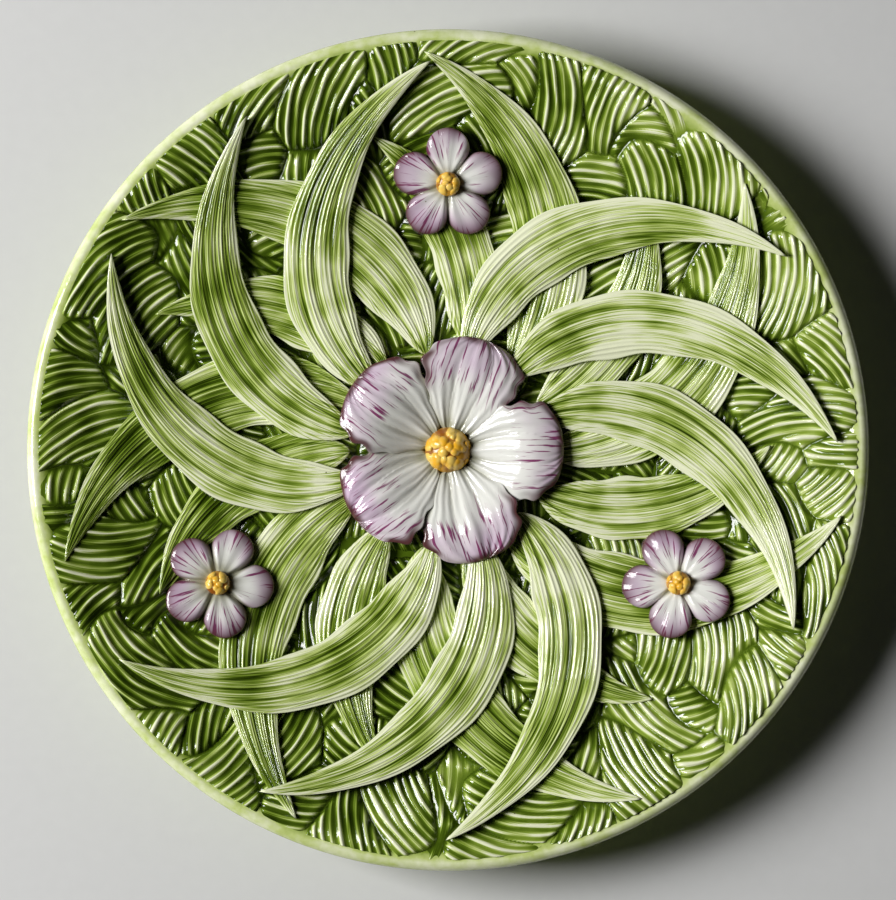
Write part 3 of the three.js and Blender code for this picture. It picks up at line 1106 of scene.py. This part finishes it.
@dataclass(frozen=True)
class Groups:
    """The effects that several finishes share, each a node group that is built once."""

    patch_scale: float = 0.09
    ripple_scale: float = 420.0
    haze_scale: float = 60.0
    least_roughness: float = 0.03
    haze_roughness: float = 0.1
    speck_scale: float = 420.0
    speck_size: float = 0.08
    speck_share: float = 0.025

    @cached_property
    def brush(self) -> bpy.types.NodeTree:
        """Builds the strokes of a loaded brush, drawn out along a sprig.

        Returns:
            A group that gives fine strokes and broad patches, both around 0.5.
        """
        inputs = {"Lay": "Vector", "Length": "Float", "Breadth": "Float"}
        sketch, given = new_group("brush_strokes", inputs, ["Stroke", "Patch"])
        sizes = sketch.add("ShaderNodeCombineXYZ", {"X": given["Length"], "Y": given["Breadth"], "Z": 1.0})
        drawn = sketch.add("ShaderNodeVectorMath", {0: given["Lay"], 1: sizes.outputs[0]}, operation="DIVIDE")
        stroke = sketch.noise(drawn.outputs[0], 1.0, 3.0)
        return sketch.close_group({"Stroke": stroke, "Patch": sketch.noise(given["Lay"], self.patch_scale)})

    @cached_property
    def pooling(self) -> bpy.types.NodeTree:
        """Builds the thickness of a glaze that runs off crests and pools in hollows.

        Returns:
            A group that gives the thickness, from a load and from masks, weighed around their middles.
        """
        middles = {"Pool": 0.0, "Comb": 0.5, "Stroke": 0.5, "Patch": 0.5, "Edge": 0.0, "Reach": 0.5}
        inputs = {"Load": "Float"}
        for name in middles:
            inputs |= {name: "Float", f"{name} Weight": "Float"}
        sketch, given = new_group("pooled_glaze", inputs, ["Thickness"])
        total = given["Load"]
        for name, middle in middles.items():
            away = sketch.math("SUBTRACT", given[name], middle)
            total = sketch.math("ADD", total, sketch.math("MULTIPLY", away, given[f"{name} Weight"]))
        return sketch.close_group({"Thickness": total})

    @cached_property
    def skin(self) -> bpy.types.NodeTree:
        """Builds the skin of a fired gloss glaze.

        Returns:
            A group that gives a faint ripple, a roughness that varies a little, and a mask of fine specks.
        """
        sketch, given = new_group("glaze_skin", {"Place": "Vector"}, ["Height", "Roughness", "Speck"])
        haze = sketch.noise(given["Place"], self.haze_scale)
        hazed = sketch.math("MULTIPLY", haze, self.haze_roughness)
        cells = sketch.add("ShaderNodeTexVoronoi", {"Vector": given["Place"], "Scale": self.speck_scale})
        chance = sketch.add("ShaderNodeSeparateColor", {0: cells.outputs["Color"]}).outputs[0]
        chosen = sketch.math("GREATER_THAN", chance, 1 - self.speck_share)
        dot = sketch.math("LESS_THAN", cells.outputs["Distance"], self.speck_size)
        return sketch.close_group({
            "Height": sketch.noise(given["Place"], self.ripple_scale),
            "Roughness": sketch.math("ADD", hazed, self.least_roughness),
            "Speck": sketch.math("MULTIPLY", dot, chosen),
        })


GROUPS = Groups()


@dataclass(frozen=True)
class Finish:
    """What every finish shares: a name, and a material that is made once."""

    name: str

    def surface(self, sketch: Sketch) -> dict:
        """The sockets of the finish's shader."""
        raise NotImplementedError

    @cached_property
    def material(self) -> bpy.types.Material:
        """Makes the material.

        Returns:
            The material, with the finish's surface on one shader.
        """
        material = bpy.data.materials.new(self.name)
        material.use_nodes = True
        material.node_tree.nodes.clear()
        sketch = Sketch(material.node_tree)
        shader = sketch.add("ShaderNodeBsdfPrincipled", self.surface(sketch))
        sketch.add("ShaderNodeOutputMaterial", {"Surface": shader.outputs["BSDF"]})
        return material


@dataclass(frozen=True)
class MattFinish(Finish):
    """An unglazed surface with fine grain, such as bare clay or backdrop card."""

    light: Colour
    dark: Colour
    grain_scale: float
    grain_height: float
    roughness: float
    grain_strength: float = 0.3
    grain_detail: float = 4.0

    def surface(self, sketch: Sketch) -> dict:
        """Puts grain into the colour and the bump.

        Args:
            sketch: the material's sketch.

        Returns:
            The sockets of the finish's shader.
        """
        grain = sketch.noise(sketch.place(), self.grain_scale, self.grain_detail)
        return {
            "Base Color": sketch.mix(grain, self.dark, self.light),
            "Roughness": self.roughness,
            "Normal": sketch.bump(grain, self.grain_strength, self.grain_height),
        }


@dataclass(frozen=True)
class Glaze(Finish):
    """What every glaze shares: a gloss skin with specks over its own colour and brush marks."""

    mark_height: float = 1.5
    speck: Colour = (0.18, 0.19, 0.08)
    bump_strength: float = 0.15
    bump_depth: float = 0.2 * MM
    refraction: float = 1.52

    def paint(self, sketch: Sketch) -> tuple[Socket, Socket]:
        """The glaze's colour over the surface, and the height of its brush marks."""
        raise NotImplementedError

    def dulled(self, sketch: Sketch, roughness: Socket) -> Socket:
        """The roughness of the surface: the skin's own, unless a glaze changes it."""
        return roughness

    def surface(self, sketch: Sketch) -> dict:
        """Lays the skin over the paint.

        Args:
            sketch: the material's sketch.

        Returns:
            The sockets of the finish's shader.
        """
        skin = sketch.group(GROUPS.skin, {"Place": sketch.place()}).outputs
        colour, marks = self.paint(sketch)
        raised = sketch.math("MULTIPLY", marks, self.mark_height)
        height = sketch.math("ADD", skin["Height"], raised)
        return {
            "Base Color": sketch.mix(skin["Speck"], colour, self.speck),
            "Roughness": self.dulled(sketch, skin["Roughness"]),
            "IOR": self.refraction,
            "Normal": sketch.bump(height, self.bump_strength, self.bump_depth),
        }


@dataclass(frozen=True)
class BrushedGlaze(Glaze):
    """A glaze with brush strokes of a length and breadth in millimetres."""

    stroke_length: float = 13.0
    stroke_breadth: float = 0.26

    def strokes(self, sketch: Sketch) -> tuple[Socket, Socket]:
        """Draws the brush along the sprig.

        Args:
            sketch: the material's sketch.

        Returns:
            Fine strokes and broad patches, both around 0.5.
        """
        sizes = {"Length": self.stroke_length, "Breadth": self.stroke_breadth}
        brush = sketch.group(GROUPS.brush, {"Lay": sketch.vector("lay"), **sizes})
        return brush.outputs["Stroke"], brush.outputs["Patch"]


@dataclass(frozen=True)
class GreenGlaze(BrushedGlaze):
    """A translucent green glaze over pale clay: cream where thin, deep green where it pools.

    Each weight says how much its mask adds to the load.
    """

    load: float = 0.42
    pool_weight: float = 0.3
    comb_weight: float = 0.3
    stroke_weight: float = 0.7
    patch_weight: float = 0.5
    edge_weight: float = 0.0
    reach_weight: float = 0.0
    open_span: Span = (1.0, 0.8)
    dull_span: Span = (1.1, 1.4)
    hollow_dulling: float = 0.5
    stops: tuple[Stop, ...] = (
        (0.0, (0.90, 0.93, 0.65)),
        (0.2, (0.59, 0.69, 0.23)),
        (0.45, (0.255, 0.36, 0.042)),
        (0.7, (0.088, 0.15, 0.008)),
        (1.0, (0.018, 0.034, 0.001)),
    )

    def dulled(self, sketch: Sketch, roughness: Socket) -> Socket:
        """The roughness of the surface, which loses its gloss in the hollows and on the walls."""
        hollow = sketch.span(sketch.scalar("comb"), self.dull_span)
        return sketch.math("ADD", roughness, sketch.math("MULTIPLY", hollow, self.hollow_dulling))

    def paint(self, sketch: Sketch) -> tuple[Socket, Socket]:
        """Turns the glaze's thickness into colour.

        Args:
            sketch: the material's sketch.

        Returns:
            The colour and the height of the brush marks.
        """
        stroke, patch = self.strokes(sketch)
        open_ground = sketch.span(sketch.scalar("comb"), self.open_span)
        sockets = {
            "Load": self.load,
            "Stroke": stroke,
            "Stroke Weight": sketch.math("MULTIPLY", open_ground, self.stroke_weight),
            "Patch": patch,
            "Patch Weight": self.patch_weight,
        }
        for name in ("pool", "comb", "edge", "reach"):
            sockets[name.title()] = sketch.scalar(name)
            sockets[f"{name.title()} Weight"] = getattr(self, f"{name}_weight")
        pooled = sketch.group(GROUPS.pooling, sockets)
        marks = sketch.math("MULTIPLY", open_ground, stroke)
        return sketch.ramp(pooled.outputs["Thickness"], self.stops), marks


@dataclass(frozen=True)
class PetalGlaze(BrushedGlaze):
    """A white glaze, painted lilac towards the tips, with dark brush strokes and outlines."""

    stroke_length: float = 8.0
    stroke_breadth: float = 0.65
    white: Colour = (0.86, 0.86, 0.80)
    lilac: Colour = (0.66, 0.50, 0.64)
    stroke_colour: Colour = (0.26, 0.06, 0.16)
    outline: Colour = (0.10, 0.035, 0.035)
    # A grey-green laid in the petals' hollows: partly glaze gathered there, partly painted shade.
    hollow: Colour = (0.36, 0.36, 0.26)
    lilac_span: Span = (0.35, 1.0)
    hollow_tint_and_shade_span: Span = (0.1, 0.9)
    stroke_span: Span = (0.55, 0.63)
    stroke_from: Span = (0.3, 0.55)
    outline_from: Span = (0.3, 0.7)
    outline_span: Span = (0.25, 0.45)

    def paint(self, sketch: Sketch) -> tuple[Socket, Socket]:
        """Lays the lilac, the hollows' grey-green tint (partly gathered glaze, partly painted shade), the
        strokes and the outlines over the white.

        Args:
            sketch: the material's sketch.

        Returns:
            The colour and the height of the brush marks.
        """
        stroke, patch = self.strokes(sketch)
        reach = sketch.math("ADD", sketch.scalar("reach"), sketch.math("SUBTRACT", patch, 0.5))
        colour = sketch.mix(sketch.span(reach, self.lilac_span), self.white, self.lilac)
        # Greys the petals where they sink below their surroundings: partly gathered glaze, partly painted
        # shade.
        colour = sketch.mix(sketch.span(sketch.scalar("pool"), self.hollow_tint_and_shade_span), colour, self.hollow)
        drawn = sketch.span(stroke, self.stroke_span)
        painted = sketch.math("MULTIPLY", drawn, sketch.span(reach, self.stroke_from))
        colour = sketch.mix(painted, colour, self.stroke_colour)
        touched = sketch.math("MULTIPLY", sketch.scalar("edge"), sketch.span(reach, self.outline_from))
        touched = sketch.math("MULTIPLY", touched, sketch.span(patch, self.outline_span))
        return sketch.mix(touched, colour, self.outline), stroke


@dataclass(frozen=True)
class CentreGlaze(Glaze):
    """A yellow glaze over grains, with brown left between them."""

    yellow: Colour = (0.92, 0.47, 0.025)
    pale: Colour = (0.95, 0.66, 0.15)
    brown: Colour = (0.30, 0.09, 0.010)
    patch_scale: float = 380.0
    pale_span: Span = (0.35, 0.65)
    brown_span: Span = (0.7, 1.2)

    def paint(self, sketch: Sketch) -> tuple[Socket, Socket]:
        """Varies the yellow and puts brown between the grains.

        Args:
            sketch: the material's sketch.

        Returns:
            The colour and the height of the brush marks.
        """
        patch = sketch.noise(sketch.place(), self.patch_scale)
        colour = sketch.mix(sketch.span(patch, self.pale_span), self.yellow, self.pale)
        between = sketch.math("ADD", sketch.scalar("comb"), sketch.math("SUBTRACT", patch, 0.5))
        return sketch.mix(sketch.span(between, self.brown_span), colour, self.brown), patch


@dataclass
class Assembly:
    """What every sub-assembly shares: its slot, its finish and the pieces that it has built."""

    slot: str
    finish: Finish
    pieces: list[bpy.types.Object] = field(default_factory=list, kw_only=True)

    def build(self) -> None:
        """Builds the meshes and adds them as pieces."""
        raise NotImplementedError

    def dress(self, flow: GlazeFlow) -> None:
        """Lets the glaze run over the pieces and gives them their finish.

        Args:
            flow: the settled flow of the whole relief.
        """
        for piece in self.pieces:
            write_scalar(piece.data, "pool", flow.pool(read_points(piece.data)))
            piece.data.materials.append(self.finish.material)


@dataclass
class PlateBody(Assembly):
    """The thrown dish with its turned foot ring.

    The combs say how the glaze shades the ground and the lip, and the pools how it gathers there.
    """

    bare: MattFinish
    segments: int = 240
    recess_steps: int = 50
    flank_steps: int = 40
    lip_steps: int = 12
    inside_steps: int = 60
    ring_pitch: float = 3.4 * MM
    ring_depth: float = 0.16 * MM
    foot_bevel: float = 0.5 * MM
    weld: float = 0.001 * MM
    foot_face: float = 0.05 * MM
    lip_band: float = 4.5 * MM
    lip_blend: float = 2 * MM
    lip_pool: float = -0.9
    under_pool: float = -0.35
    ground_comb: float = 0.9
    lip_comb: float = 0.3

    def rings(self, radius: Array) -> Array:
        """The depth of the throwing rings, at distances from where they begin."""
        return self.ring_depth * 0.5 * (1 - np.cos(TURN * radius / self.ring_pitch))

    def profile(self) -> list[tuple[float, float]]:
        """Draws half of the dish's section.

        Returns:
            Radii and heights from the middle of the underside round the lip to the middle of the well.
        """
        foot_inside = DISH.foot_radius - DISH.foot_width
        shoulder = DISH.foot_radius + DISH.foot_flare
        recess = np.linspace(0.0, foot_inside - DISH.foot_flare, self.recess_steps)
        flank = np.linspace(shoulder, DISH.edge, self.flank_steps)
        bend = np.linspace(-math.pi / 2, math.pi / 2, self.lip_steps + 1)[1:-1]
        half = 0.5 * (DISH.surface(DISH.edge) - DISH.underside(DISH.edge))
        inside = np.linspace(DISH.edge, 0.0, self.inside_steps)
        lip = DISH.edge + DISH.lip_reach * np.cos(bend)
        radii = [recess, [foot_inside, DISH.foot_radius], flank, lip, inside]
        heights = [
            DISH.foot_height + self.rings(recess),
            [0.0, 0.0],
            DISH.underside(flank) + self.rings(flank - shoulder),
            DISH.underside(DISH.edge) + half * (1 + np.sin(bend)),
            DISH.surface(inside),
        ]
        return list(zip(np.concatenate(radii), np.concatenate(heights)))

    def build(self) -> None:
        """Spins the section about the axis and rounds the foot ring's edges."""
        dish = bmesh.new()
        corners = [dish.verts.new((radius, 0.0, height)) for radius, height in self.profile()]
        edges = [dish.edges.new(pair) for pair in zip(corners, corners[1:])]
        around = {"cent": (0, 0, 0), "axis": (0, 0, 1), "angle": TURN, "steps": self.segments}
        bmesh.ops.spin(dish, geom=corners + edges, use_merge=True, **around)
        bmesh.ops.remove_doubles(dish, verts=dish.verts, dist=self.weld)
        bmesh.ops.recalc_face_normals(dish, faces=dish.faces)
        rims = [edge for edge in dish.edges if max(vert.co.z for vert in edge.verts) < self.foot_face]
        rims = [edge for edge in rims if any(face.normal.z > -0.9 for face in edge.link_faces)]
        rounding = {"offset": self.foot_bevel, "affect": "EDGES", "segments": 3, "profile": 0.5}
        bmesh.ops.bevel(dish, geom=rims, material=-1, **rounding)
        for face in dish.faces:
            face.smooth = True
            face.material_index = int(face.calc_center_median().z < self.foot_face)
        mesh = bpy.data.meshes.new("plate_body_glazed")
        dish.to_mesh(mesh)
        dish.free()
        self.pieces.append(add_piece("plate_body_glazed", mesh, self.slot, ["plate_body"]))

    def dress(self, flow: GlazeFlow) -> None:
        """Pools the glaze under the relief and in the throwing rings, and leaves the foot bare.

        Args:
            flow: the settled flow of the whole relief.
        """
        super().dress(flow)
        mesh = self.pieces[0].data
        mesh.materials.append(self.bare.material)
        points = read_points(mesh)
        radius = np.hypot(points[:, 0], points[:, 1])
        over = points[:, 2] > 0.5 * (DISH.surface(radius) + DISH.underside(radius))
        band = DISH.rim_radius - self.lip_band
        lip = share_between(radius, band, band + self.lip_blend)
        top = flow.pool(points) * (1 - lip) + self.lip_pool * lip
        write_scalar(mesh, "pool", np.where(over, top, self.under_pool))
        shade = self.ground_comb + (self.lip_comb - self.ground_comb) * lip
        crests = 0.5 + 0.5 * np.cos(TURN * radius / self.ring_pitch)
        write_scalar(mesh, "comb", np.where(over, shade, crests))
        write_lay(mesh, points / MM)


@dataclass
class SprigLayer(Assembly):
    """Sprigs of one kind, each a piece of its own."""

    sprig: Sprig

    def stands(self) -> Iterator[Placed]:
        """Each sprig's name, its place and the solids that it stands for."""
        raise NotImplementedError

    def build(self) -> None:
        """Shapes one piece for each sprig, where it stands."""
        for name, stand, nodes in self.stands():
            mesh = self.sprig.mesh(name, stand)
            self.pieces.append(add_piece(name, mesh, self.slot, nodes))


@dataclass
class LeafLayer(SprigLayer):
    """A ring of leaves or petals, one for each solid of a name."""

    prefix: str

    def stands(self) -> Iterator[Placed]:
        """Each leaf's name, its solid's angle and its solid."""
        for number, node in enumerate(nodes_named(self.prefix), 1):
            yield f"{node}_glazed", Stand(0.0, turn_of(node), float(number)), [node]


@dataclass
class GroundLeaves(SprigLayer):
    """A ring of broad leaves that fills the ground under the sprigs, modelled with the dish."""

    name: str
    count: int

    def stands(self) -> Iterator[Placed]:
        """Each leaf's name and its angle, at even steps, with no solid of its own."""
        for i in range(self.count):
            yield f"{self.name}_{i + 1:02d}", Stand(0.0, TURN * i / self.count, i + 0.5), []


@dataclass
class Studs(SprigLayer):
    """Round sprigs, such as small blossoms and flower centres, one for each solid."""

    nodes: list[str]

    def stands(self) -> Iterator[Placed]:
        """Finds each stud's place: the middle of the plate, or that of the small flower with its number.

        Yields:
            Its name, its place and its solid.
        """
        for number, node in enumerate(self.nodes, 1):
            index = node.rpartition("_")[2]
            place = (0.0, 0.0) if index == "centre" else middle_of(f"small_centre_{index}")
            yield f"{node}_glazed", Stand(*place, float(number)), [node]


@dataclass
class Studio:
    """The pale floor, the light from the left and the camera straight above."""

    card: MattFinish
    photo_height: float = 900
    plate_in_photo: float = 844
    lens: float = 200.0
    sensor: float = 36.0
    floor_size: float = 4.0
    floor_cells: int = 8
    floor_gap: float = 0.05 * MM
    light_azimuth_deg: float = 172.0
    light_elevation_deg: float = 40.0
    light_distance: float = 1.25
    light_size: tuple[float, float] = (0.5, 0.6)
    light_power: float = 19.6
    fill: float = 0.008

    def build(self) -> None:
        """Sets up the floor, the lights and the camera."""
        self._floor()
        self._lights()
        self._camera()

    def _floor(self) -> None:
        """Lays the floor just under the foot ring."""
        sheet = bmesh.new()
        cells = self.floor_cells
        bmesh.ops.create_grid(sheet, x_segments=cells, y_segments=cells, size=self.floor_size / 2)
        bmesh.ops.translate(sheet, verts=sheet.verts, vec=(0, 0, -self.floor_gap))
        mesh = bpy.data.meshes.new("floor")
        sheet.to_mesh(mesh)
        sheet.free()
        mesh.materials.append(self.card.material)
        floor = add_object("floor", mesh)

    def _lights(self) -> None:
        """Hangs one soft light on the left, and lights the room faintly."""
        azimuth = math.radians(self.light_azimuth_deg)
        elevation = math.radians(self.light_elevation_deg)
        lamp = bpy.data.lights.new("key_light", "AREA")
        lamp.shape = "RECTANGLE"
        lamp.size, lamp.size_y = self.light_size
        lamp.energy = self.light_power
        key = add_object("key_light", lamp)
        flat = self.light_distance * math.cos(elevation)
        height = self.light_distance * math.sin(elevation)
        key.location = (flat * math.cos(azimuth), flat * math.sin(azimuth), height)
        key.rotation_euler = key.location.to_track_quat("Z", "Y").to_euler()
        world = bpy.data.worlds.new("room")
        world.use_nodes = True
        backdrop = world.node_tree.nodes["Background"]
        backdrop.inputs["Color"].default_value = (1, 1, 1, 1)
        backdrop.inputs["Strength"].default_value = self.fill
        bpy.context.scene.world = world

    def _camera(self) -> None:
        """Puts the camera straight over the plate, so that it fills the frame as in the photograph."""
        view = 2 * DISH.rim_radius * self.photo_height / self.plate_in_photo
        body = bpy.data.cameras.new("camera")
        body.lens = self.lens
        body.sensor_width = self.sensor
        camera = add_object("camera", body)
        lip_height = float(DISH.surface(np.float64(DISH.rim_radius)))
        camera.location = (0, 0, lip_height + view * self.lens / self.sensor)
        bpy.context.scene.camera = camera
        bpy.context.scene.view_settings.view_transform = "Standard"


def plate_assemblies() -> list[Assembly]:
    """Names the plate's sub-assemblies with their sizes and finishes.

    Returns:
        The sub-assemblies, from the body up.
    """
    deep = GreenGlaze("under_leaf_glaze", load=0.23, comb_weight=0.9, stroke_weight=1.4, patch_weight=1.2)
    pale = GreenGlaze(
        "leaf_glaze", load=0.41, pool_weight=0.4, comb_weight=0.6, stroke_weight=1.9, patch_weight=1.6,
        edge_weight=-0.3, reach_weight=0.3,
    )
    glaze = GreenGlaze("body_glaze", stroke_weight=0.3, stroke_length=2.0, stroke_breadth=2.0)
    petals = PetalGlaze("petal_glaze")
    centres = CentreGlaze("centre_glaze")
    clay = MattFinish(
        "bare_clay", light=(0.62, 0.52, 0.40), dark=(0.48, 0.38, 0.28),
        grain_scale=900.0, grain_height=0.1 * MM, roughness=0.8,
    )
    outer = Shell(girth=156, stations=190, wall_steps=4)
    inner = Shell(girth=104, stations=104, wall_steps=4)
    fine = Shell(girth=128, stations=84)
    thicket = Thicket()
    under = BroadBlade(
        base_radius=38 * MM, tip_radius=DISH.edge + 8 * MM, wedge_deg=14, thickness=1.1 * MM,
        lift=0.3 * MM, swirl_deg=-16, shell=outer, thicket=thicket,
    )
    heart = BroadBlade(
        base_radius=11 * MM, tip_radius=48 * MM, wedge_deg=19.5, thickness=1.1 * MM,
        lift=0.2 * MM, swirl_deg=10, shell=inner, thicket=thicket,
    )
    arch = Blade(
        base_radius=21 * MM, tip_radius=DISH.edge - 3 * MM, width=16 * MM, thickness=1.3 * MM,
        lift=1.7 * MM, swirl_deg=42, shell=fine,
    )
    short = Blade(
        base_radius=21 * MM, tip_radius=DISH.edge - 19 * MM, width=13.5 * MM, thickness=1.3 * MM,
        lift=1.7 * MM, swirl_deg=26, shell=fine,
    )
    top = Blade(
        base_radius=20 * MM, tip_radius=DISH.edge - 5 * MM, width=14 * MM, thickness=1.4 * MM,
        lift=3.12 * MM, swirl_deg=-48, shell=fine,
    )
    petal = Petal(
        base_radius=3.8 * MM, tip_radius=25 * MM, width=23.5 * MM, thickness=1.9 * MM, lift=4.8 * MM,
        shell=fine, widest=0.6, line_pitch=2.4 * MM, line_depth=0.16 * MM, outline_width=1.5 * MM,
    )
    small_centre = Button(
        radius=2.6 * MM, height=1.6 * MM, lift=5.5 * MM,
        grains=13, grain_height=0.4 * MM, grain_width=0.75 * MM,
    )
    large_centre = Button(
        radius=5 * MM, height=4.4 * MM, lift=0.3 * MM,
        grains=24, grain_height=0.8 * MM, grain_width=1.1 * MM,
    )
    return [
        PlateBody("body_glaze", glaze, clay),
        GroundLeaves("under_leaf_glaze", deep, heart, "heart_leaf", 10),
        LeafLayer("under_leaf_glaze", deep, under, "under_leaf"),
        LeafLayer("leaf_glaze", pale, arch, "arch_leaf"),
        LeafLayer("leaf_glaze", pale, short, "short_leaf"),
        LeafLayer("leaf_glaze", pale, top, "top_leaf"),
        LeafLayer("petal_glaze", petals, petal, "petal"),
        Studs("petal_glaze", petals, Corolla(), nodes_named("small_corolla")),
        Studs("centre_glaze", centres, small_centre, nodes_named("small_centre")),
        Studs("centre_glaze", centres, large_centre, ["large_centre"]),
    ]


def main() -> None:
    """Builds the plate, its finishes and the studio."""
    logging.basicConfig(level=logging.INFO, format="%(relativeCreated)d ms %(name)s: %(message)s")
    assemblies = plate_assemblies()
    flow = GlazeFlow()
    for assembly in assemblies:
        assembly.build()
        if isinstance(assembly, SprigLayer):
            for piece in assembly.pieces:
                flow.take(piece.data)
    flow.settle()
    for assembly in assemblies:
        assembly.dress(flow)
    card = MattFinish(
        "backdrop_card", light=(0.715, 0.715, 0.705), dark=(0.68, 0.68, 0.67),
        grain_scale=300.0, grain_height=0.05 * MM, roughness=0.9,
    )
    Studio(card).build()


if __name__ == "__main__":
    main()
